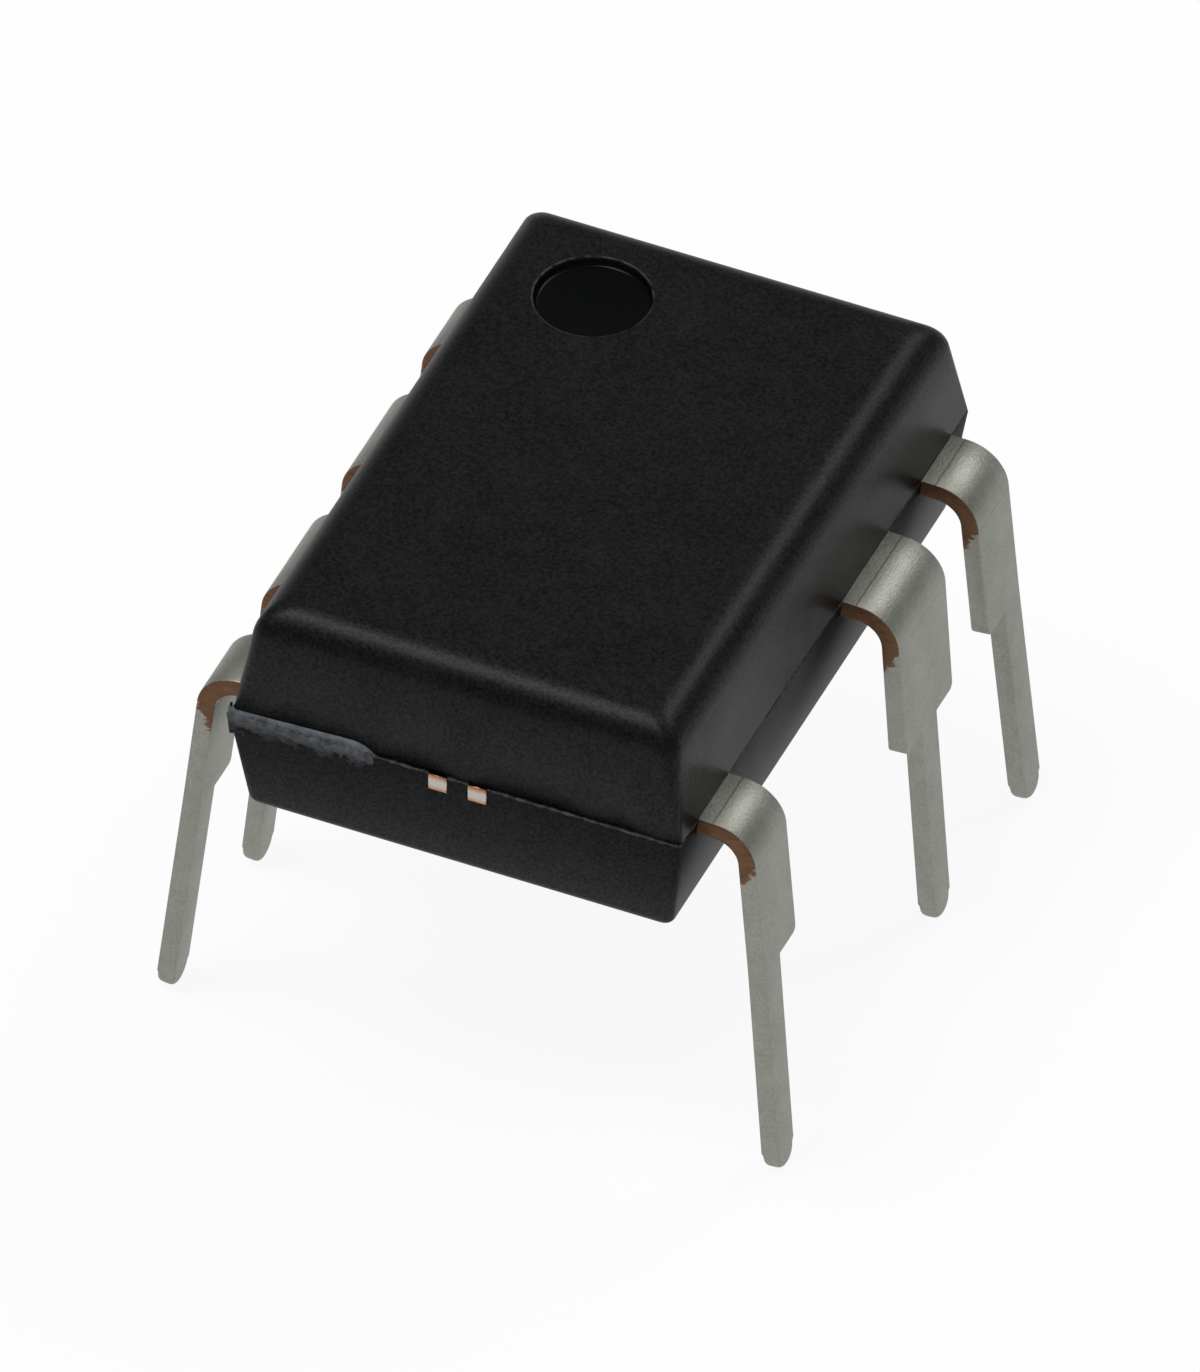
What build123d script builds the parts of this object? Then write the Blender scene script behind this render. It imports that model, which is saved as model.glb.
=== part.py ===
from build123d import *
import os
from math import cos, radians, sin, tan

# A moulded integrated circuit in an eight-place dual in-line outline, with seven leads: the sixth place is
# left empty. It stands on its lead tips. X runs across the two rows, Y along them with place 1 at the +Y
# end, and Z up. The origin is on the ground, under the middle of the body. All sizes are in millimetres.

# Lead rows
pitch = 2.54
places_per_row = 4
empty_places = [6]
lead_thickness = 0.25
pin_width = 0.48
shoulder_width = 1.50
shoulder_drop = 2.33  # from the lead's top face down to the end of its shoulder
shoulder_corner = 0.10
pin_length = 3.29  # from the end of the shoulder down to the tip
flat_run = 0.15  # straight stretch outside the body, before the bend
bend_inner_radius = 0.35

# How far each formed leg leans out, in degrees, and how far its tip stands to one side
splay = {1: 5.7, 2: 5.3, 3: 5.8, 4: 6.2, 5: 4.8, 7: 3.8, 8: 5.5}
tip_sway = {1: 0.04, 2: -0.03, 3: 0.02, 4: -0.05, 5: -0.08, 7: 0.04, 8: 0.07}

# Moulded body: two halves that meet in the plane of the leads' top faces
body_width = 6.30
end_overhang = 0.81  # from the end leads' middle to the end of the body
upper_height = 1.65
lower_height = 1.65
upper_draft = 7.0
lower_draft = 7.0
parting_step = 0.025  # the upper half sits back this far from the lower one all round
corner_radius = 0.10  # of the upright corners at the parting line
corner_spare = 0.04  # by how much they are rounder than the outer edges when they reach them
top_fillet = 0.50
bottom_fillet = 0.20
dimple_radius = 0.775
dimple_depth = 0.12
dimple_draft = 20.0
dimple_from_side = 1.71  # from the body's side at place 1 to the dimple's centre
dimple_from_end = 1.72  # from the body's end at place 1 to the dimple's centre
gate_width = 2.05
gate_from_side = 0.10
gate_drop = 0.33  # how far the broken gate reaches below the parting plane
gate_rise = 0.12  # and above it
gate_proud = 0.04

# Lead frame inside the body
paddle_width = 2.30
paddle_length = 3.30
paddle_downset = 0.20
finger_gap = 0.30  # between the fingers and the paddle or its tie bars
finger_neck = 0.60
finger_lean = 0.25  # how far a middle finger's inner end leans to the middle of the body
finger_full_width = 0.95  # length of full-width finger inside the body
lock_hole_radius = 0.22
lock_hole_depth = 0.55  # from the body's side to the locking hole's centre
tie_bar_width = 0.26
tie_bar_spread = 0.55
tie_bar_proud = 0.04
tie_bar_flat = 0.15  # lowered flat between the paddle and the ramp
tie_bar_ramp = 0.35  # sloping stretch that lowers the paddle

# Die and its wires
attach_thickness = 0.03
attach_margin = 0.10
die_width = 1.50
die_length = 2.20
die_thickness = 0.28
pad_inset = 0.15
ball_radius = 0.04
ball_height = 0.02
wire_radius = 0.015
loop_height = 0.20
loop_radius = 0.08
bond_inset = 0.20  # from a finger's inner end to its wire
stitch_length = 0.20  # how far the wire runs on past its bond before it is cut off at the finger

# Places that follow from those sizes
row_end_y = pitch * (places_per_row - 1) / 2
body_length = 2 * (row_end_y + end_overhang)
parting_z = shoulder_drop + pin_length
paddle_top_z = parting_z - paddle_downset
die_top_z = paddle_top_z + attach_thickness + die_thickness
bend_outer_radius = bend_inner_radius + lead_thickness
bend_x = body_width / 2 + flat_run
places = [place for place in range(1, 2 * places_per_row + 1) if place not in empty_places]

os.makedirs("parts", exist_ok=True)


def side_of(place):
    """-1 for the row that holds place 1, and 1 for the other row."""
    return -1 if place <= places_per_row else 1


def row_y(place):
    """Places run from +Y to -Y along the first row, and back again along the second."""
    steps = place - 1 if place <= places_per_row else 2 * places_per_row - place
    return row_end_y - steps * pitch


def inward(place):
    """The direction along Y from a place to the middle of the body."""
    return -1 if row_y(place) > 0 else 1


def at_row_end(place):
    return place in (1, places_per_row, places_per_row + 1, 2 * places_per_row)


def shoulder_edges(place):
    """The shoulder's lower and upper edges along Y. An end lead has only the half that faces inward."""
    low, high = row_y(place) - shoulder_width / 2, row_y(place) + shoulder_width / 2
    if at_row_end(place) and inward(place) > 0:
        low = row_y(place) - pin_width / 2
    if at_row_end(place) and inward(place) < 0:
        high = row_y(place) + pin_width / 2
    return low, high


def save(piece, name):
    piece.part.label = name
    export_step(piece.part, f"parts/{name}.step")


def middle_finger(place):
    """Outline of a finger that comes straight in from the side and narrows towards the paddle."""
    low, high = shoulder_edges(place)
    taper_x = body_width / 2 - finger_full_width
    end_x = paddle_width / 2 + finger_gap
    end_y = row_y(place) + inward(place) * finger_lean
    return [
        (bend_x, low),
        (bend_x, high),
        (taper_x, high),
        (end_x, end_y + finger_neck / 2),
        (end_x, end_y - finger_neck / 2),
        (taper_x, low),
    ]


def end_finger(place):
    """Outline of a finger that comes in near the end of the body and turns towards the paddle."""
    turn = inward(place)
    low, high = shoulder_edges(place)
    outer_y, inner_y = (low, high) if turn > 0 else (high, low)
    near_x = (tie_bar_spread + tie_bar_width) / 2 + finger_gap
    far_x = near_x + finger_neck
    end_y = -turn * (paddle_length / 2 + finger_gap)
    bevel = finger_neck / 2
    return [
        (bend_x, outer_y),
        (near_x + bevel, outer_y),
        (near_x, outer_y + turn * bevel),
        (near_x, end_y),
        (far_x, end_y),
        (far_x, inner_y + turn * bevel),
        (far_x + bevel, inner_y),
        (bend_x, inner_y),
    ]


def leg_plane(place):
    """Lies on the leg's outer face where the bend ends: X along the row, Y up the leg, Z outwards."""
    lean = radians(splay[place])
    outward = Vector(cos(lean), 0, sin(lean))
    bend_centre = Vector(bend_x, row_y(place), parting_z - bend_outer_radius)
    return Plane(bend_centre + outward * bend_outer_radius, x_dir=(0, 1, 0), z_dir=outward)


def lead(place):
    """Finger, bend, shoulder and pin in one stamped and formed strip, made on the +X side."""
    low, high = shoulder_edges(place)
    y = row_y(place)
    lean = radians(splay[place])
    bend_end_z = parting_z - bend_outer_radius * (1 - sin(lean))
    shoulder_end = (parting_z - shoulder_drop - bend_end_z) / cos(lean)
    tip = -(parting_z - bend_outer_radius + bend_inner_radius * sin(lean)) / cos(lean)
    tip_y = tip_sway[place]
    half_pin = pin_width / 2
    with BuildPart() as strip:
        with BuildSketch(Plane.XY.offset(parting_z)):
            with BuildLine():
                Polyline(end_finger(place) if at_row_end(place) else middle_finger(place), close=True)
            make_face()
            with Locations((body_width / 2 - lock_hole_depth, (low + high) / 2)):
                Circle(lock_hole_radius, mode=Mode.SUBTRACT)
        extrude(amount=-lead_thickness)
        with BuildSketch(Plane((0, high, 0), x_dir=(1, 0, 0), z_dir=(0, -1, 0))):
            with BuildLine():
                centre = (bend_x, parting_z - bend_outer_radius)
                outer = CenterArc(centre, bend_outer_radius, 90, splay[place] - 90)
                inner = CenterArc(centre, bend_inner_radius, 90, splay[place] - 90)
                Line(outer @ 0, inner @ 0)
                Line(outer @ 1, inner @ 1)
            make_face()
        extrude(amount=high - low)
        with BuildSketch(leg_plane(place)):
            with Locations(((low + high) / 2 - y, shoulder_end / 2)):
                Rectangle(high - low, -shoulder_end)
            corners = vertices().group_by(Axis.Y)[0].sort_by(Axis.X)
            fillet([v for v in corners if abs(v.X) > half_pin * 1.01], shoulder_corner)
            with BuildLine():
                left = Line((-half_pin, shoulder_end), (tip_y - half_pin, tip + half_pin))
                right = Line((half_pin, shoulder_end), (tip_y + half_pin, tip + half_pin))
                ThreePointArc(left @ 1, (tip_y, tip), right @ 1)
                Line(left @ 0, right @ 0)
            make_face()
        extrude(amount=-lead_thickness)
        if side_of(place) < 0:
            mirror(about=Plane.YZ, mode=Mode.REPLACE)
    return strip


def die_paddle():
    """The lowered plate that carries the die, with two tie bars that run out to each end of the body."""
    half = paddle_length / 2
    ramp_start, ramp_end = half + tie_bar_flat, half + tie_bar_flat + tie_bar_ramp
    end = body_length / 2 + tie_bar_proud
    with BuildPart() as paddle:
        with BuildSketch(Plane.XY.offset(paddle_top_z)):
            Rectangle(paddle_width, paddle_length)
        extrude(amount=-lead_thickness)
        for x in (-tie_bar_spread / 2, tie_bar_spread / 2):
            with BuildSketch(Plane.YZ.offset(x)):
                with BuildLine():
                    top = Polyline(
                        (0, paddle_top_z),
                        (ramp_start, paddle_top_z),
                        (ramp_end, parting_z),
                        (end, parting_z),
                    )
                    bottom = Polyline(
                        (0, paddle_top_z - lead_thickness),
                        (ramp_start, paddle_top_z - lead_thickness),
                        (ramp_end, parting_z - lead_thickness),
                        (end, parting_z - lead_thickness),
                    )
                    Line(top @ 0, bottom @ 0)
                    Line(top @ 1, bottom @ 1)
                make_face()
                mirror(about=Plane.YZ)
            extrude(amount=tie_bar_width / 2, both=True)
    return paddle


def die_attach():
    """The adhesive under the die, squeezed out a little all round."""
    with BuildPart() as layer:
        with BuildSketch(Plane.XY.offset(paddle_top_z)):
            RectangleRounded(die_width + 2 * attach_margin, die_length + 2 * attach_margin, attach_margin)
        extrude(amount=attach_thickness)
    return layer


def die():
    with BuildPart() as chip:
        with BuildSketch(Plane.XY.offset(die_top_z)):
            Rectangle(die_width, die_length)
        extrude(amount=-die_thickness)
    return chip


def pad_point(place):
    """Bond pad on the die's top face. The pads of a row spread over the length of the die."""
    reach = (die_length / 2 - pad_inset) / row_end_y
    return Vector(side_of(place) * (die_width / 2 - pad_inset), row_y(place) * reach, die_top_z)


def bond_point(place):
    """Where the wire meets the top face of the finger."""
    if at_row_end(place):
        x = (tie_bar_spread + tie_bar_width + finger_neck) / 2 + finger_gap
        y = -inward(place) * (paddle_length / 2 + finger_gap + bond_inset)
    else:
        x = paddle_width / 2 + finger_gap + bond_inset
        y = row_y(place) + inward(place) * finger_lean
    return Vector(side_of(place) * x, y, parting_z)


def bond_wire(place):
    """A ball on the die, a loop, and a slanting run that ends in a stitch on the finger."""
    pad, bond = pad_point(place), bond_point(place)
    run = Vector(bond.X - pad.X, bond.Y - pad.Y, 0)
    upright = Plane((pad.X, pad.Y, 0), x_dir=run, z_dir=run.cross(Vector(0, 0, 1)))
    loop_z = die_top_z + loop_height
    slope = (loop_z - parting_z) / run.length
    with BuildPart() as wire:
        with Locations(pad):
            Cylinder(ball_radius, ball_height, align=(Align.CENTER, Align.CENTER, Align.MIN))
        with BuildLine(upright) as route:
            FilletPolyline(
                (0, die_top_z + ball_height),
                (0, loop_z),
                (run.length + stitch_length, parting_z - stitch_length * slope),
                radius=loop_radius,
            )
        with BuildSketch(Plane(route.line @ 0, z_dir=route.line % 0)):
            Circle(wire_radius)
        sweep()
        with Locations(bond):
            below = (Align.CENTER, Align.CENTER, Align.MAX)
            Box(2.5 * stitch_length, 2.5 * stitch_length, stitch_length, align=below, mode=Mode.SUBTRACT)
    return wire


def mould_half(set_back, height, draft, edge_fillet, direction):
    """One tapered half of the moulding, crisp at the parting line and rounder towards its outer face."""
    shrink = 2 * (set_back + height * tan(radians(draft)))
    with BuildPart() as half:
        with BuildSketch(Plane.XY.offset(parting_z)):
            RectangleRounded(body_width - 2 * set_back, body_length - 2 * set_back, corner_radius)
        with BuildSketch(Plane.XY.offset(parting_z + direction * height)):
            RectangleRounded(body_width - shrink, body_length - shrink, edge_fillet + corner_spare)
        loft(ruled=True)
        outer_face = faces().sort_by(Axis.Z)[-1 if direction > 0 else 0]
        fillet(outer_face.edges(), edge_fillet)
    return half


def mould_body(held):
    """Black epoxy moulded round the lead frame, the die and its wires, which it touches all over."""
    top_z = parting_z + upper_height
    with BuildPart() as body:
        add(mould_half(parting_step, upper_height, upper_draft, top_fillet, 1).part)
        add(mould_half(0, lower_height, lower_draft, bottom_fillet, -1).part)
        gate_x = gate_from_side + gate_width / 2 - body_width / 2
        gate_face = Plane((gate_x, -body_length / 2 - gate_proud, parting_z), x_dir=(1, 0, 0), z_dir=(0, 1, 0))
        with BuildSketch(gate_face):
            with Locations((0, (gate_drop - gate_rise) / 2)):
                Rectangle(gate_width, gate_drop + gate_rise)
        extrude(until=Until.NEXT)
        dimple_x = dimple_from_side - body_width / 2
        dimple_y = body_length / 2 - dimple_from_end
        with BuildSketch(Plane((dimple_x, dimple_y, top_z))):
            Circle(dimple_radius)
        extrude(amount=-dimple_depth, taper=dimple_draft, mode=Mode.SUBTRACT)
        for piece in held:
            add(piece.part, mode=Mode.SUBTRACT)
    return body


inside = {"die_paddle": die_paddle(), "die_attach": die_attach(), "die": die()}
for place in places:
    inside[f"lead_{place}"] = lead(place)
    inside[f"bond_wire_{place}"] = bond_wire(place)
for name, piece in inside.items():
    save(piece, name)
save(mould_body(inside.values()), "mould_body")
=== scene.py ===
from math import cos, pi, radians, sin, tan

import bmesh
import bpy
from mathutils import Matrix, Vector, noise


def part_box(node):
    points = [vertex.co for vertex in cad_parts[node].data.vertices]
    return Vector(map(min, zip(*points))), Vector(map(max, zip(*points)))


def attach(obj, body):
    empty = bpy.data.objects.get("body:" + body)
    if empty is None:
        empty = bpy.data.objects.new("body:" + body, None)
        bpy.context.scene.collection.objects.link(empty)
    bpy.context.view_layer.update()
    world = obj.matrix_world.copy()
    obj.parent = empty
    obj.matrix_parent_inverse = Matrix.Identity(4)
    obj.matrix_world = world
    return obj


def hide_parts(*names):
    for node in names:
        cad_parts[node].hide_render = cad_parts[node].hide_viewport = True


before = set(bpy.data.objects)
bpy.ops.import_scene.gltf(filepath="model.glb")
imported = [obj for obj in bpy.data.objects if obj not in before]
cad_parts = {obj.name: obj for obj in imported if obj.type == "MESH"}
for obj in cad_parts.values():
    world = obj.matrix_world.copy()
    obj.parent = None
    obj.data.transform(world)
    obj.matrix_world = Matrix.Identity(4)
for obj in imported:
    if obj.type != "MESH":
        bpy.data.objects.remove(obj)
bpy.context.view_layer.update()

# Moulded body
# Black epoxy moulding compound, pressed round the lead frame in a two-part mould, in one piece. The two halves
# part at the top faces of the leads, where the upper half sits back a hair and a fine gap shows. A round
# dimple marks the end with place 1.

mm = 0.001
body_low, body_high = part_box("mould_body")
parting_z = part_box("lead_1")[1].z
half_width = body_high.x
half_length = body_high.y
top_z = body_high.z
underside_z = body_low.z
draft = radians(7)
parting_step = 0.025 * mm
upper_middle = (-0.03 * mm, -0.01 * mm)  # the halves close a few hundredths off the lead frame's middle
lower_middle = (-0.05 * mm, -0.03 * mm)
parting_corner = 0.05 * mm  # radius of the upright corners at the parting line
upper_corner = 0.20 * mm  # and where they reach the rounded outer edges
lower_corner = 0.12 * mm
top_radius = 0.50 * mm
underside_radius = 0.20 * mm
lip = 0.010 * mm  # how much the lower half's upper edge is broken
gap_height = 0.020 * mm  # the fine open line between the halves
gap_depth = 0.022 * mm
flash_wave = 0.008 * mm  # how unevenly the halves meet
level_margin = 0.06 * mm  # flat run beside a rounded edge
dimple_x = -1.44 * mm
dimple_y = 2.90 * mm
dimple_radius = 0.775 * mm
dimple_depth = 0.12 * mm
dimple_taper = 0.045 * mm
dimple_rim = 0.012 * mm
dimple_floor_radius = 0.035 * mm


def round_corners(bm, corners, radius, segments):
    """Rounds corners within a sheet."""
    bmesh.ops.bevel(
        bm, geom=corners, offset=radius, offset_type="OFFSET", affect="VERTICES",
        segments=segments, profile=0.5, material=-1, clamp_overlap=False,
    )


def outline(bm, level):
    """Adds a level rounded rectangle whose sides are evenly divided, and returns its edges."""
    middle, inset, corner, z = level
    sizes = (half_width - inset, half_length - inset, 1, 1)
    square = bmesh.ops.create_grid(
        bm, x_segments=1, y_segments=1, size=1, matrix=Matrix.Translation((*middle, z)) @ Matrix.Diagonal(sizes)
    )["verts"]
    round_corners(bm, square, corner, 8)
    bmesh.ops.delete(bm, geom=bm.faces[:], context="FACES_ONLY")
    sides = [edge for edge in bm.edges if edge.calc_length() > half_width]
    bmesh.ops.subdivide_edges(bm, edges=sides, cuts=63)
    return bm.edges[:]


def next_ring(bm, ring, level, above):
    """Draws a ring of edges at one level up to the next level, and returns its new edges."""
    made = bmesh.ops.extrude_edge_only(bm, edges=ring)["geom"]
    ring = [part for part in made if isinstance(part, bmesh.types.BMEdge)]
    (middle, inset, radius, _), (new_middle, new_inset, new_radius, new_z) = level, above
    for corner in corners_of(ring):
        for axis, half in enumerate((half_width, half_length)):
            core, new_core = half - inset - radius, half - new_inset - new_radius
            offset = corner.co[axis] - middle[axis]
            on_side = max(-core, min(core, offset))
            turned = (offset - on_side) / radius
            corner.co[axis] = new_middle[axis] + on_side * new_core / core + turned * new_radius
        corner.co.z = new_z
    return ring


def round_off(bm, edges, offset, segments):
    """Rounds a run of edges."""
    bmesh.ops.bevel(
        bm, geom=edges, offset=offset, offset_type="OFFSET", affect="EDGES",
        segments=segments, profile=0.5, material=-1, clamp_overlap=True,
    )


def corners_of(edges):
    """The corners that a run of edges joins."""
    return list({corner for edge in edges for corner in edge.verts})


def finished(bm, name, *materials):
    """Turns a bmesh into a smooth object of its own, whose large faces stay flat."""
    mesh = bpy.data.meshes.new(name)
    bm.to_mesh(mesh)
    bm.free()
    for made in materials:
        mesh.materials.append(made)
    mesh.shade_smooth()
    piece = bpy.data.objects.new(name, mesh)
    bpy.context.scene.collection.objects.link(piece)
    even = piece.modifiers.new("even shading", "WEIGHTED_NORMAL")
    even.weight = 80
    even.keep_sharp = True
    return piece


def rounded_edge(height, radius, steps):
    """How far in, and how high above the parting plane, a drafted wall's rounded outer edge runs."""
    wall = height - radius * (1 - sin(draft))
    for step in range(steps + 1):
        turn = draft + (pi / 2 - draft) * step / steps
        up = height - radius * (1 - sin(turn))
        inset = wall * tan(draft) + radius * (cos(draft) - cos(turn))
        yield inset, up
    yield inset + level_margin, height


body = bmesh.new()
lower_levels = [
    (lower_middle, inset, lower_corner, parting_z - down)
    for inset, down in rounded_edge(parting_z - underside_z, underside_radius, 6)
]
upper_levels = [
    (upper_middle, parting_step + inset, upper_corner, parting_z + up)
    for inset, up in rounded_edge(top_z - parting_z, top_radius, 12)
]
levels = [
    *reversed(lower_levels),
    (lower_middle, lip * tan(draft), parting_corner, parting_z - lip),
    (lower_middle, lip, parting_corner, parting_z),
    (upper_middle, parting_step + gap_depth, parting_corner, parting_z),
    (upper_middle, parting_step, parting_corner, parting_z + gap_height),
    *upper_levels,
]
loops = [outline(body, levels[0])]
for level, above in zip(levels, levels[1:]):
    loops.append(next_ring(body, loops[-1], level, above))
bmesh.ops.contextual_create(body, geom=loops[0])

# The halves meet a little unevenly, so the lip of the lower one wanders and the open line comes and goes.
lip_at = len(lower_levels)
for ring in (loops[lip_at], loops[lip_at + 1]):
    for corner in corners_of(ring):
        wander = noise.noise(corner.co / (1.1 * mm)) + 0.5 * noise.noise(corner.co / (0.4 * mm))
        corner.co.x *= 1 + wander * flash_wave / half_width
        corner.co.y *= 1 + wander * flash_wave / half_length
for corner in corners_of(loops[lip_at + 2]):
    closed = max(0.0, 1.6 * noise.noise(corner.co / (0.8 * mm) + Vector((7, 3, 1))) + 0.25)
    corner.co.x *= 1 + closed * gap_depth / half_width
    corner.co.y *= 1 + closed * gap_depth / half_length

# The dimple is turned about its own middle and let into the top face.
profile = [
    body.verts.new((dimple_x + reach, dimple_y, top_z - down))
    for reach, down in (
        (dimple_radius + level_margin, 0),
        (dimple_radius, 0),
        (dimple_radius - dimple_taper, dimple_depth),
        (0, dimple_depth),
    )
]
turned = [body.edges.new(pair) for pair in zip(profile, profile[1:])]
bmesh.ops.spin(
    body, geom=profile + turned, cent=(dimple_x, dimple_y, 0), axis=(0, 0, 1), angle=2 * pi, steps=96,
    use_merge=True,
)
bmesh.ops.remove_doubles(body, verts=body.verts, dist=0.0005 * mm)
for corner in corners_of(loops[-1]):  # a hair of bow, so that no triangle of the flat collapses
    corner.co.x *= 1 + 0.004 * (1 - (corner.co.y / half_length) ** 2)
    corner.co.y *= 1 + 0.002 * (1 - (corner.co.x / half_width) ** 2)
bmesh.ops.triangle_fill(body, edges=[edge for edge in body.edges if edge.is_boundary], use_beauty=True)
bmesh.ops.recalc_face_normals(body, faces=body.faces)


def dimple_edges(reach, down):
    """The edges of the dimple that run round at a radius and a depth."""
    middle = Vector((dimple_x, dimple_y, top_z - down))
    close = 0.002 * mm
    return [
        edge
        for edge in body.edges
        if all(abs((end.co - middle).length - reach) < close for end in edge.verts)
        and all(abs(end.co.z - middle.z) < close for end in edge.verts)
    ]


round_off(body, dimple_edges(dimple_radius - dimple_taper, dimple_depth), dimple_floor_radius, 4)
round_off(body, dimple_edges(dimple_radius, 0), dimple_rim, 2)

# Where the runner was snapped off, a shallow rough scar is left on the end wall, by place 4.
gate_width = 2.05 * mm
gate_left = -half_width + lower_middle[0]
gate_out = 0.07 * mm  # how far its left end stands out past the corner
gate_wrap = 0.035  # share of its width over which that end turns back to the body
gate_drop = 0.36 * mm
gate_proud = 0.050 * mm


def end_wall(z):
    """How far the end wall stands out at a height."""
    if z > parting_z:
        return half_length - upper_middle[1] - parting_step - (z - parting_z) * tan(draft)
    return half_length - lower_middle[1] - (parting_z - z) * tan(draft)


scar = bmesh.ops.create_grid(
    body, x_segments=120, y_segments=28, size=0.5, matrix=Matrix.Translation((0.5, 0.5, 0))
)["verts"]
for corner in scar:
    along, up = corner.co.x, corner.co.y
    spot = Vector((along * gate_width, 0, up * 0.45 * mm)) / mm
    ragged = noise.noise(Vector((spot.x * 3.1, 0, 4))) + 0.6 * noise.noise(Vector((spot.x * 9, 0, 9)))
    crest = (0.065 + 0.085 * along) * mm * (1 - max(0.0, (along - 0.82) / 0.18) ** 2.2)
    foot = -gate_drop * (1 - 0.30 * along) + 0.055 * mm * ragged
    z = parting_z + foot + (crest - foot) * up
    ends = min(1.0, along / 0.015, (1 - along) / 0.05)
    edge_in = min(ends, up / 0.10, (1 - up) / 0.05)
    rough = (
        0.30 * noise.noise(spot * 4.0)
        + 0.30 * noise.noise(spot * 9.0)
        + 0.24 * noise.noise(spot * 22.0)
        - 0.10 + 1.05 * up ** 1.2
    )
    stand = gate_proud * min(1.0, rough) * min(1.0, edge_in)
    sunk = 0.02 * mm * (1 - min(1.0, 3 * edge_in))
    turn = max(0.0, 1 - along / gate_wrap)
    x = gate_left + along * gate_width - gate_out * (1 - turn * turn) ** 0.5 * (1 - min(1.0, along / 0.3))
    corner.co = (x, -end_wall(z) - max(-0.02 * mm, stand) + sunk + turn * 0.10 * mm, z)
scar_faces = {face for corner in scar for face in corner.link_faces}
for face in scar_faces:
    face.material_index = 1
bmesh.ops.reverse_faces(body, faces=[face for face in scar_faces if face.normal.y > 0])


def linear(code):
    """A colour written in sRGB, such as #1a1b1c, as the linear values that a shader works in."""
    parts = [int(code[at:at + 2], 16) / 255 for at in (1, 3, 5)]
    return (*[p / 12.92 if p <= 0.04045 else ((p + 0.055) / 1.055) ** 2.4 for p in parts], 1)


def add(tree, kind, inputs, **settings):
    """Adds one node with its settings. An input is a value, or the output of a node before it."""
    made = tree.nodes.new("ShaderNode" + kind)
    for name, value in settings.items():
        setattr(made, name, value)
    for name, value in inputs.items():
        if isinstance(value, bpy.types.NodeSocket):
            tree.links.new(value, made.inputs[name])
        else:
            made.inputs[name].default_value = value
    return made


def empty_material(name):
    """A material with no nodes yet, and its tree."""
    made = bpy.data.materials.new(name)
    made.use_nodes = True
    made.node_tree.nodes.clear()
    return made, made.node_tree


# Epoxy moulding compound, moulded against spark-eroded steel: near black, dull, with an even fine grain that
# breaks up the light along its rounded edges. The lower half's sharp lip carries a painted highlight, the
# dimple's rim is chipped lighter, and a little dust clings to it.
epoxy, tree = empty_material("moulded epoxy compound")
place = add(tree, "TexCoord", {}).outputs["Object"]
axes = add(tree, "SeparateXYZ", {"Vector": place}).outputs
grain = add(tree, "TexNoise", {"Vector": place, "Scale": 1 / (0.045 * mm), "Detail": 2.0, "Roughness": 0.6})
cloud = add(tree, "TexNoise", {"Vector": place, "Scale": 1 / (0.9 * mm), "Detail": 4.0, "Roughness": 0.65})
mottle = add(tree, "Math", {0: cloud.outputs["Fac"], 1: grain.outputs["Fac"]}, operation="ADD").outputs[0]
tone = add(tree, "MapRange", {"Value": mottle, "From Min": 0.75, "From Max": 1.25})
base = add(
    tree, "Mix", {0: tone.outputs[0], 6: linear("#050607"), 7: linear("#121315")}, data_type="RGBA"
).outputs[2]
chip_and_highlight_breakup = add(tree, "TexNoise", {"Vector": place, "Scale": 1 / (0.16 * mm), "Detail": 3.0})
patchy = add(tree, "MapRange", {"Value": chip_and_highlight_breakup.outputs["Fac"], "From Min": 0.46, "From Max": 0.60})
# Painted highlight: the lower half's lip at the parting line is painted lighter in broken patches, where its
# edge catches the light.
on_lip = add(
    tree, "Math", {0: axes["Z"], 1: parting_z - lip / 2, 2: 1.2 * lip}, operation="COMPARE"
).outputs[0]
lip_painted_highlight = add(tree, "Math", {0: on_lip, 1: patchy.outputs[0]}, operation="MULTIPLY").outputs[0]
from_dimple = add(
    tree, "VectorMath", {0: place, 1: (dimple_x, dimple_y, top_z)}, operation="SUBTRACT"
).outputs[0]
dimple_reach = add(tree, "VectorMath", {0: from_dimple}, operation="LENGTH").outputs["Value"]
ring = add(
    tree, "Math", {0: dimple_reach, 1: dimple_radius + 0.004 * mm, 2: 0.010 * mm}, operation="COMPARE"
).outputs[0]
chipped = add(tree, "MapRange", {"Value": chip_and_highlight_breakup.outputs["Fac"], "From Min": 0.40, "From Max": 0.55})
ring_worn = add(tree, "Math", {0: ring, 1: chipped.outputs[0]}, operation="MULTIPLY").outputs[0]
dust = add(tree, "TexVoronoi", {"Vector": place, "Scale": 1 / (0.85 * mm), "Randomness": 1.0})
small = add(tree, "Math", {0: dust.outputs["Distance"], 1: 0.022}, operation="LESS_THAN").outputs[0]
by_line = add(
    tree, "Math", {0: axes["Z"], 1: parting_z - 0.35 * mm, 2: 0.45 * mm}, operation="COMPARE"
).outputs[0]
speck = add(tree, "Math", {0: small, 1: by_line}, operation="MULTIPLY").outputs[0]
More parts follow.
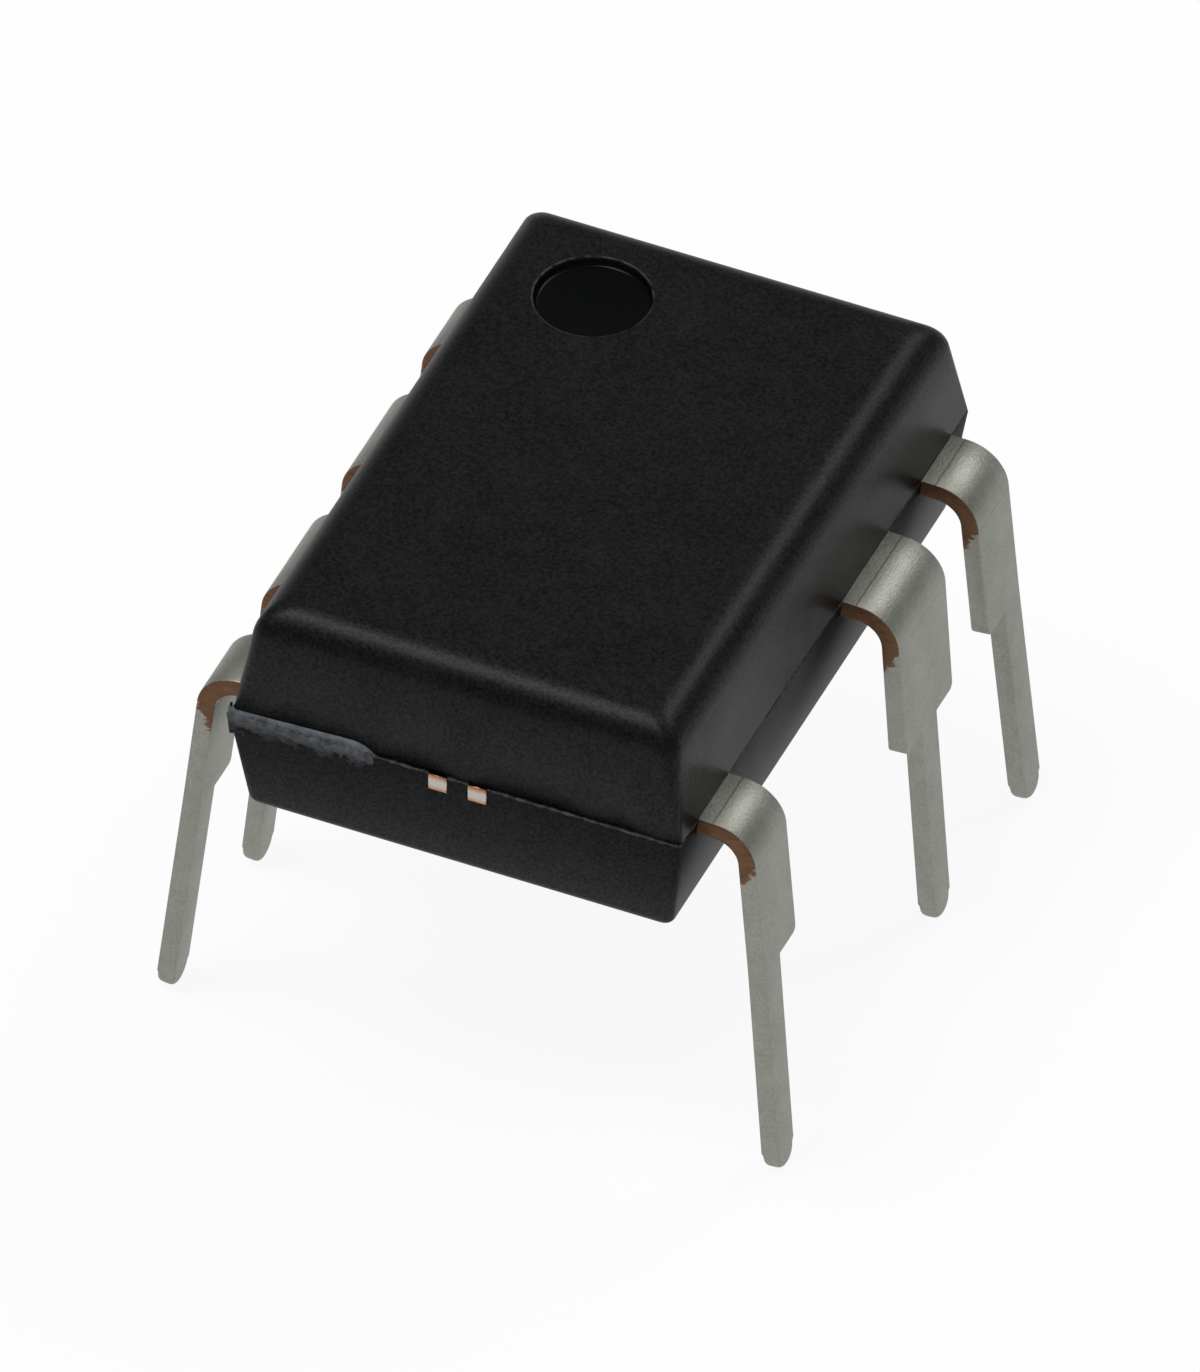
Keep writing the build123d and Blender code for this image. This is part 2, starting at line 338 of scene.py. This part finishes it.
# The lip's painted highlight and the rim's real chips share one lighter colour.
lip_highlight_and_rim_chips = add(tree, "Math", {0: lip_painted_highlight, 1: ring_worn}, operation="MAXIMUM").outputs[0]
highlit_and_chipped = add(tree, "Mix", {0: lip_highlight_and_rim_chips, 6: base, 7: linear("#3a3b3d")}, data_type="RGBA").outputs[2]
base_with_dust_chips_and_highlight = add(tree, "Mix", {0: speck, 6: highlit_and_chipped, 7: linear("#4a4a48")}, data_type="RGBA").outputs[2]
matt = add(
    tree, "MapRange", {"Value": grain.outputs["Fac"], "To Min": 0.36, "To Max": 0.50}
).outputs[0]
in_dimple = add(
    tree, "Math", {0: dimple_reach, 1: dimple_radius - 0.012 * mm}, operation="LESS_THAN"
).outputs[0]
gloss = add(tree, "Mix", {0: in_dimple, 2: matt, 3: 0.26}).outputs[0]
glint = add(
    tree, "MapRange",
    {"Value": grain.outputs["Fac"], "From Min": 0.35, "From Max": 0.65, "To Min": 0.10, "To Max": 0.20},
).outputs[0]
shine = add(tree, "Mix", {0: in_dimple, 2: glint, 3: 0.08}).outputs[0]
# Painted shade: the whole dimple is painted darker than the top, standing in for the shade in its polished
# hollow.
dimple_painted_dark = add(tree, "Mix", {0: in_dimple, 6: base_with_dust_chips_and_highlight, 7: linear("#040506")}, data_type="RGBA").outputs[2]
polish = add(tree, "MapRange", {"Value": in_dimple, "To Min": 0.35, "To Max": 0.06}).outputs[0]
relief = add(
    tree, "Bump", {"Height": grain.outputs["Fac"], "Strength": polish, "Distance": 0.008 * mm}
).outputs[0]
surface = add(
    tree,
    "BsdfPrincipled",
    {"Base Color": dimple_painted_dark, "Roughness": gloss, "Normal": relief, "IOR": 1.5, "Specular IOR Level": shine},
)
add(tree, "OutputMaterial", {"Surface": surface.outputs[0]})

# Torn epoxy, where the runner broke away: the bare filler shows, so it is paler, bluish and quite dull. It is
# painted lighter towards its upper crest, a painted highlight where the crest catches the light.
torn, tree = empty_material("torn epoxy compound")
place = add(tree, "TexCoord", {}).outputs["Object"]
height = add(tree, "SeparateXYZ", {"Vector": place}).outputs["Z"]
crumbs = add(tree, "TexNoise", {"Vector": place, "Scale": 1 / (0.13 * mm), "Detail": 6.0, "Roughness": 0.75})
# Painted highlight: the scar is painted lighter from its foot up to its crest, where the crest catches the
# light; the crumbly noise is the filler's own.
crest_highlight_ramp = add(
    tree, "MapRange", {"Value": height, "From Min": parting_z - gate_drop, "From Max": parting_z + 0.1 * mm}
).outputs[0]
pale_filler_and_crest_highlight = add(tree, "Math", {0: crest_highlight_ramp, 1: crumbs.outputs["Fac"]}, operation="MULTIPLY").outputs[0]
filler_and_highlight_share = add(tree, "MapRange", {"Value": pale_filler_and_crest_highlight, "From Min": 0.16, "From Max": 0.58}).outputs[0]
filler_and_crest_highlight = add(
    tree, "Mix", {0: filler_and_highlight_share, 6: linear("#17181a"), 7: linear("#6a6e74")}, data_type="RGBA"
).outputs[2]
relief = add(
    tree, "Bump", {"Height": crumbs.outputs["Fac"], "Strength": 0.6, "Distance": 0.02 * mm}
).outputs[0]
surface = add(
    tree,
    "BsdfPrincipled",
    {"Base Color": filler_and_crest_highlight, "Roughness": 0.75, "Normal": relief, "IOR": 1.5, "Specular IOR Level": 0.35},
)
add(tree, "OutputMaterial", {"Surface": surface.outputs[0]})

mould_body = finished(body, "moulded_body", epoxy, torn)
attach(mould_body, "root")
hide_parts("mould_body")

# Leads
# Copper alloy strip, stamped and tin plated flat, then bent down beside the body, each a little differently.
# The forming tool rubs the plating off the sheared sides of the bend, so the copper shows there.

pitch = 2.54 * mm
row_end_y = 1.5 * pitch
lead_thickness = 0.25 * mm
half_pin = 0.24 * mm
half_shoulder = 0.75 * mm
shoulder_drop = 2.33 * mm
shoulder_corner = 0.10 * mm
bend_x = half_width + 0.15 * mm
bend_radius = 0.60 * mm  # of the outer face
inside_x = half_width - 0.25 * mm  # where the strip meets its finger inside the body
strip_edge = 0.018 * mm
tip_edge = 0.075 * mm  # how far the tip is rounded over its thickness
# place: (degrees that the leg leans out, how far its tip stands to one side)
forming = {
    1: (5.7, 0.04), 2: (5.3, -0.03), 3: (5.8, 0.02), 4: (6.2, -0.05),
    5: (4.8, -0.08), 7: (3.8, 0.04), 8: (5.5, 0.07),
}


def pulled(bm, edges, by, steps=1):
    """Draws a row of edges out into a strip, and returns the edges at its new end."""
    for _ in range(steps):
        made = bmesh.ops.extrude_edge_only(bm, edges=edges)["geom"]
        edges = [part for part in made if isinstance(part, bmesh.types.BMEdge)]
        bmesh.ops.translate(bm, verts=corners_of(edges), vec=by / steps)
    return edges


def formed_strip(place):
    """The part of a lead outside the body, made on the +X side."""
    steps = place - 1 if place <= 4 else 8 - place
    y = row_end_y - steps * pitch
    low, high = y - half_shoulder, y + half_shoulder
    if place in (1, 8):
        high = y + half_pin
    if place in (4, 5):
        low = y - half_pin
    lean, sway = radians(forming[place][0]), forming[place][1] * mm
    marks = sorted({low, y - half_pin, y + half_pin, high})
    strip = bmesh.new()
    row = [strip.verts.new((inside_x, mark, parting_z)) for mark in marks]
    end = [strip.edges.new(pair) for pair in zip(row, row[1:])]
    end = pulled(strip, end, Vector((bend_x - inside_x, 0, 0)), steps=4)
    turned = bmesh.ops.spin(
        strip, geom=corners_of(end) + end, cent=(bend_x, 0, parting_z - bend_radius), axis=(0, 1, 0),
        angle=radians(90) - lean, steps=18,
    )["geom_last"]
    end = [part for part in turned if isinstance(part, bmesh.types.BMEdge)]
    down = Vector((sin(lean), 0, -cos(lean)))
    bend_end_z = parting_z - bend_radius * (1 - sin(lean))
    shoulder_run = (bend_end_z - parting_z + shoulder_drop) / cos(lean)
    tip_run = (parting_z - bend_radius + (bend_radius - lead_thickness) * sin(lean)) / cos(lean)
    end = pulled(strip, end, down * shoulder_run, steps=6)
    outer = [c for c in corners_of(end) if abs(c.co.y - y) > half_pin * 1.01]
    tip = [edge for edge in end if all(abs(c.co.y - y) < half_pin * 1.01 for c in edge.verts)]
    straight = tip_run - shoulder_run - half_pin
    tip = pulled(strip, tip, down * straight + Vector((0, sway, 0)), steps=8)
    tip = pulled(strip, tip, down * half_pin)
    round_corners(strip, corners_of(tip), half_pin * 0.98, 8)
    round_corners(strip, outer, shoulder_corner, 5)
    bmesh.ops.recalc_face_normals(strip, faces=strip.faces)
    flat = min(strip.faces, key=lambda face: face.calc_center_median().x)
    if flat.normal.z < 0:
        bmesh.ops.reverse_faces(strip, faces=strip.faces)
    bmesh.ops.solidify(strip, geom=strip.faces, thickness=lead_thickness)
    bmesh.ops.recalc_face_normals(strip, faces=strip.faces)
    tip_middle = Vector((bend_x, y + sway, parting_z - bend_radius)) + down * (tip_run - half_pin)
    arrises = [e for e in strip.edges if e.is_manifold and e.calc_face_angle() > radians(40)]
    at_tip = [e for e in arrises if all((c.co - tip_middle).dot(down) > -0.01 * mm for c in e.verts)]
    round_off(strip, at_tip, tip_edge, 4)
    arrises = [e for e in strip.edges if e.is_manifold and e.calc_face_angle() > radians(40)]
    round_off(strip, arrises, strip_edge, 2)
    return strip


def finger(place):
    """The part of a lead inside the body, cut off where the strip takes over."""
    inner = bmesh.new()
    inner.from_mesh(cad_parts[f"lead_{place}"].data)
    bmesh.ops.remove_doubles(inner, verts=inner.verts, dist=0.0002 * mm)
    side = -1 if place <= 4 else 1
    cut = bmesh.ops.bisect_plane(
        inner, geom=inner.verts[:] + inner.edges[:] + inner.faces[:], dist=0.0001 * mm,
        plane_co=(side * inside_x, 0, 0), plane_no=(side, 0, 0), clear_outer=True,
    )["geom_cut"]
    bmesh.ops.edgenet_fill(inner, edges=[part for part in cut if isinstance(part, bmesh.types.BMEdge)])
    return inner


# Matt electroplated tin over copper alloy: pale warm grey, finely crystalline, with soft wide highlights.
# The sheared sides are bare brown copper through the bend, and the tin starts again in ragged streaks below
# it, first on the outer side. Where the bend starts and ends the forming tool leaves a fine groove across the
# lead, whose shade is painted as a darker line.
tin, tree = empty_material("matt tin plate")
place = add(tree, "TexCoord", {}).outputs["Object"]
axes = add(tree, "SeparateXYZ", {"Vector": place}).outputs
out = add(tree, "Math", {0: axes["X"]}, operation="ABSOLUTE").outputs[0]
facing = add(tree, "NewGeometry", {}).outputs["Normal"]
sideways = add(tree, "SeparateXYZ", {"Vector": facing}).outputs["Y"]
sheared = add(tree, "Math", {0: sideways}, operation="ABSOLUTE").outputs[0]
is_side = add(tree, "MapRange", {"Value": sheared, "From Min": 0.55, "From Max": 0.80}).outputs[0]
crystals = add(tree, "TexNoise", {"Vector": place, "Scale": 1 / (0.035 * mm), "Detail": 2.0})
stain = add(tree, "TexNoise", {"Vector": place, "Scale": 1 / (0.45 * mm), "Detail": 4.0, "Roughness": 0.6})
grey = add(
    tree, "Mix", {0: stain.outputs["Fac"], 6: linear("#8a8a82"), 7: linear("#a5a59e")}, data_type="RGBA"
).outputs[2]
sparkle = add(tree, "MapRange", {"Value": crystals.outputs["Fac"], "To Min": 0.72, "To Max": 1.22}).outputs[0]
plate = add(
    tree, "Mix", {0: 1.0, 6: grey, 7: sparkle}, data_type="RGBA", blend_type="MULTIPLY"
).outputs[2]
# Painted shade: a darker line across the lead at the start and end of the bend stands in for the shade in the
# forming tool's fine groove.
start_line = add(
    tree, "Math", {0: out, 1: bend_x - 0.010 * mm, 2: 0.010 * mm}, operation="COMPARE"
).outputs[0]
on_top = add(tree, "Math", {0: axes["Z"], 1: parting_z - 0.03 * mm}, operation="GREATER_THAN").outputs[0]
bend_start_groove_shade = add(tree, "Math", {0: start_line, 1: on_top}, operation="MULTIPLY").outputs[0]
end_line = add(
    tree, "Math", {0: axes["Z"], 1: parting_z - 0.585 * mm, 2: 0.010 * mm}, operation="COMPARE"
).outputs[0]
bend_end_groove_shade = add(tree, "Math", {0: end_line, 1: 0.45}, operation="MULTIPLY").outputs[0]
marks = add(tree, "Math", {0: bend_start_groove_shade, 1: bend_end_groove_shade}, operation="MAXIMUM").outputs[0]
plate_with_groove_shade = add(tree, "Mix", {0: marks, 6: plate, 7: linear("#6f6f69")}, data_type="RGBA").outputs[2]
inward = add(tree, "Math", {0: bend_x + bend_radius + 0.01 * mm, 1: out}, operation="SUBTRACT").outputs[0]
slant = add(tree, "Math", {0: inward, 1: 1.7, 2: axes["Z"]}, operation="MULTIPLY_ADD").outputs[0]
streaks = add(tree, "Mapping", {"Vector": place, "Scale": (0.35, 0.35, 1.0)}).outputs[0]
rags = add(tree, "TexNoise", {"Vector": streaks, "Scale": 1 / (0.07 * mm), "Detail": 3.0, "Roughness": 0.7})
reach = add(
    tree, "Math", {0: rags.outputs["Fac"], 1: 0.70 * mm, 2: slant}, operation="MULTIPLY_ADD"
).outputs[0]
bare_from = parting_z - 0.24 * mm
is_bare = add(
    tree, "MapRange", {"Value": reach, "From Min": bare_from - 0.02 * mm, "From Max": bare_from + 0.03 * mm}
).outputs[0]
bare = add(tree, "Math", {0: is_bare, 1: is_side}, operation="MULTIPLY").outputs[0]
brown = add(
    tree, "Mix", {0: rags.outputs["Fac"], 6: linear("#4e382a"), 7: linear("#8c6a50")}, data_type="RGBA"
).outputs[2]
skin = add(tree, "Mix", {0: bare, 6: plate_with_groove_shade, 7: brown}, data_type="RGBA").outputs[2]
dull = add(tree, "MapRange", {"Value": bare, "To Min": 0.52, "To Max": 0.60}).outputs[0]
rough = add(tree, "Mix", {0: is_side, 2: crystals.outputs["Fac"], 3: rags.outputs["Fac"]}).outputs[0]
relief = add(tree, "Bump", {"Height": rough, "Strength": 0.45, "Distance": 0.010 * mm}).outputs[0]
surface = add(
    tree, "BsdfPrincipled", {"Base Color": skin, "Metallic": 1.0, "Roughness": dull, "Normal": relief}
)
add(tree, "OutputMaterial", {"Surface": surface.outputs[0]})

for place in forming:
    strip = formed_strip(place)
    if place <= 4:
        bmesh.ops.scale(strip, vec=(-1, 1, 1), verts=strip.verts)
        bmesh.ops.reverse_faces(strip, faces=strip.faces)
    inner = finger(place)
    held = bpy.data.meshes.new("finger")
    inner.to_mesh(held)
    inner.free()
    strip.from_mesh(held)
    bpy.data.meshes.remove(held)
    lead = finished(strip, f"formed_lead_{place}", tin)
    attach(lead, "root")
    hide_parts(f"lead_{place}")

# Die paddle and its tie bars
# The plate under the die, stamped from the same strip as the leads and held by two bars at each end. The bars
# are cut off at the ends of the body, where their silvery torn ends show between coppery rolled faces.

bar_edge = 0.020 * mm
bars = bmesh.new()
bars.from_mesh(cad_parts["die_paddle"].data)
bmesh.ops.remove_doubles(bars, verts=bars.verts, dist=0.0002 * mm)
bmesh.ops.dissolve_limit(bars, angle_limit=radians(1), verts=bars.verts, edges=bars.edges)
bar_end_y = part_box("die_paddle")[1].y
end_edges = [e for e in bars.edges if all(abs(c.co.y) > bar_end_y - 0.001 * mm for c in e.verts)]
round_off(bars, end_edges, bar_edge, 3)

copper, tree = empty_material("rolled copper strip")
place = add(tree, "TexCoord", {}).outputs["Object"]
axes = add(tree, "SeparateXYZ", {"Vector": place}).outputs
rolling = add(tree, "Mapping", {"Vector": place, "Scale": (1.0, 0.06, 1.0)}).outputs[0]
lines = add(tree, "TexNoise", {"Vector": rolling, "Scale": 1 / (0.03 * mm), "Detail": 3.0})
red = add(
    tree, "Mix", {0: lines.outputs["Fac"], 6: linear("#a06a50"), 7: linear("#cf9a80")}, data_type="RGBA"
).outputs[2]
middle_z = parting_z - lead_thickness / 2
from_middle = add(tree, "Math", {0: axes["Z"], 1: middle_z}, operation="SUBTRACT").outputs[0]
off_middle = add(tree, "Math", {0: from_middle}, operation="ABSOLUTE").outputs[0]
tearing = add(tree, "TexNoise", {"Vector": place, "Scale": 1 / (0.06 * mm), "Detail": 4.0})
ragged = add(
    tree, "Math", {0: tearing.outputs["Fac"], 1: 0.05 * mm, 2: off_middle}, operation="MULTIPLY_ADD"
).outputs[0]
core = add(
    tree, "MapRange",
    {"Value": ragged, "From Min": 0.075 * mm, "From Max": 0.120 * mm, "To Min": 1.0, "To Max": 0.0},
).outputs[0]
outside = add(tree, "Math", {0: axes["Y"]}, operation="ABSOLUTE").outputs[0]
at_end = add(
    tree, "Math", {0: outside, 1: bar_end_y - 0.015 * mm}, operation="GREATER_THAN"
).outputs[0]
silvery = add(tree, "Math", {0: core, 1: at_end}, operation="MULTIPLY").outputs[0]
torn_metal = add(
    tree, "Mix", {0: silvery, 6: red, 7: linear("#bdb8b0")}, data_type="RGBA"
).outputs[2]
relief = add(
    tree, "Bump", {"Height": tearing.outputs["Fac"], "Strength": 0.5, "Distance": 0.015 * mm}
).outputs[0]
surface = add(
    tree, "BsdfPrincipled", {"Base Color": torn_metal, "Metallic": 1.0, "Roughness": 0.42, "Normal": relief}
)
add(tree, "OutputMaterial", {"Surface": surface.outputs[0]})

paddle = finished(bars, "die_paddle_strip", copper)
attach(paddle, "root")
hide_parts("die_paddle")

# Die, its adhesive and its bond wires
# Sealed inside the moulding. The die is polished silicon with a fine patchwork of circuit on top, stuck down
# with silver-filled epoxy, and a thin gold wire runs from its edge to each finger.

silicon, tree = empty_material("polished silicon")
place = add(tree, "TexCoord", {}).outputs["Object"]
blocks = add(
    tree, "TexVoronoi", {"Vector": place, "Scale": 1 / (0.16 * mm), "Randomness": 0.7}, distance="CHEBYCHEV"
)
circuit = add(
    tree, "Mix", {0: blocks.outputs["Distance"], 6: linear("#3c4048"), 7: linear("#6c6a72")}, data_type="RGBA"
).outputs[2]
surface = add(
    tree, "BsdfPrincipled", {"Base Color": circuit, "Metallic": 0.6, "Roughness": 0.18}
)
add(tree, "OutputMaterial", {"Surface": surface.outputs[0]})

adhesive, tree = empty_material("silver filled epoxy")
place = add(tree, "TexCoord", {}).outputs["Object"]
flakes = add(tree, "TexVoronoi", {"Vector": place, "Scale": 1 / (0.02 * mm)})
paste = add(
    tree, "Mix", {0: flakes.outputs["Distance"], 6: linear("#b9b8b4"), 7: linear("#7d7c79")}, data_type="RGBA"
).outputs[2]
relief = add(
    tree, "Bump", {"Height": flakes.outputs["Distance"], "Strength": 0.3, "Distance": 0.004 * mm}
).outputs[0]
surface = add(
    tree, "BsdfPrincipled", {"Base Color": paste, "Metallic": 0.5, "Roughness": 0.5, "Normal": relief}
)
add(tree, "OutputMaterial", {"Surface": surface.outputs[0]})

gold, tree = empty_material("drawn gold wire")
place = add(tree, "TexCoord", {}).outputs["Object"]
drawing = add(tree, "TexNoise", {"Vector": place, "Scale": 1 / (0.01 * mm), "Detail": 2.0})
yellow = add(
    tree, "Mix", {0: drawing.outputs["Fac"], 6: linear("#e0b565"), 7: linear("#f2cf86")}, data_type="RGBA"
).outputs[2]
surface = add(
    tree, "BsdfPrincipled", {"Base Color": yellow, "Metallic": 1.0, "Roughness": 0.22}
)
add(tree, "OutputMaterial", {"Surface": surface.outputs[0]})

finishes = {"die": silicon, "die_attach": adhesive}
finishes.update({f"bond_wire_{place}": gold for place in forming})
for name, finish in finishes.items():
    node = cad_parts[name]
    if not node.material_slots:
        node.data.materials.append(finish)
    for held in node.material_slots:
        held.material = finish

# Floor, camera and light
# A white table that keeps the soft shadow, one wide lamp overhead, a weaker one behind, and a grey room.

table = bmesh.new()
bmesh.ops.create_grid(table, x_segments=1, y_segments=1, size=1.5)
floor_finish, tree = empty_material("white table")
path = add(tree, "LightPath", {}).outputs
seen = add(tree, "Math", {0: path["Is Camera Ray"], 1: path["Is Glossy Ray"]}, operation="MAXIMUM").outputs[0]
seen = add(tree, "Math", {0: seen, 1: path["Is Transmission Ray"]}, operation="MAXIMUM").outputs[0]
share = add(tree, "Math", {0: seen, 1: 0.92}, operation="MULTIPLY").outputs[0]
paint = add(tree, "BsdfDiffuse", {"Color": linear("#ececea")}).outputs[0]
white = add(tree, "Emission", {"Color": (1, 1, 1, 1), "Strength": 1.0}).outputs[0]
shown = add(tree, "MixShader", {0: share, 1: paint, 2: white}).outputs[0]
add(tree, "OutputMaterial", {"Surface": shown})
floor_mesh = bpy.data.meshes.new("floor")
table.to_mesh(floor_mesh)
table.free()
floor_mesh.materials.append(floor_finish)
floor = bpy.data.objects.new("floor", floor_mesh)
bpy.context.scene.collection.objects.link(floor)

azimuth, elevation, roll = radians(23.349), radians(41.795), radians(0.547)
distance = 0.9949
aim = Vector((-0.980, 2.187, 1.327)) * mm
back = Vector((sin(azimuth) * cos(elevation), -cos(azimuth) * cos(elevation), sin(elevation)))
across = Vector((cos(azimuth), sin(azimuth), 0))
upward = back.cross(across)
tilted_across = across * cos(roll) + upward * sin(roll)
tilted_upward = upward * cos(roll) - across * sin(roll)
view = bpy.data.cameras.new("camera")
view.sensor_width = 36
view.lens = 77460.7 * view.sensor_width / 1372
camera = bpy.data.objects.new("camera", view)
camera.matrix_world = (
    Matrix.Translation(aim + back * distance)
    @ Matrix((tilted_across, tilted_upward, back)).transposed().to_4x4()
)
bpy.context.scene.collection.objects.link(camera)
bpy.context.scene.camera = camera

# lamp: (where it hangs, how wide it is, watts), aimed at the middle of the body
lamps = {
    "softbox": ((-0.148, -0.085, 0.47), 0.24, 1.5),
    "back light": ((0.126, 0.302, 0.378), 0.20, 0.75),
}
for name, (spot, size, power) in lamps.items():
    light = bpy.data.lights.new(name, "AREA")
    light.shape = "DISK"
    light.size = size
    light.energy = power
    lamp = bpy.data.objects.new(name, light)
    aimed = (Vector((0, 0, parting_z)) - Vector(spot)).to_track_quat("-Z", "Y")
    lamp.matrix_world = Matrix.Translation(spot) @ aimed.to_matrix().to_4x4()
    bpy.context.scene.collection.objects.link(lamp)

world = bpy.data.worlds.new("grey room")
world.use_nodes = True
world.node_tree.nodes["Background"].inputs["Color"].default_value = (1, 1, 1, 1)
world.node_tree.nodes["Background"].inputs["Strength"].default_value = 0.24
bpy.context.scene.world = world

bpy.context.scene.view_settings.view_transform = "Standard"
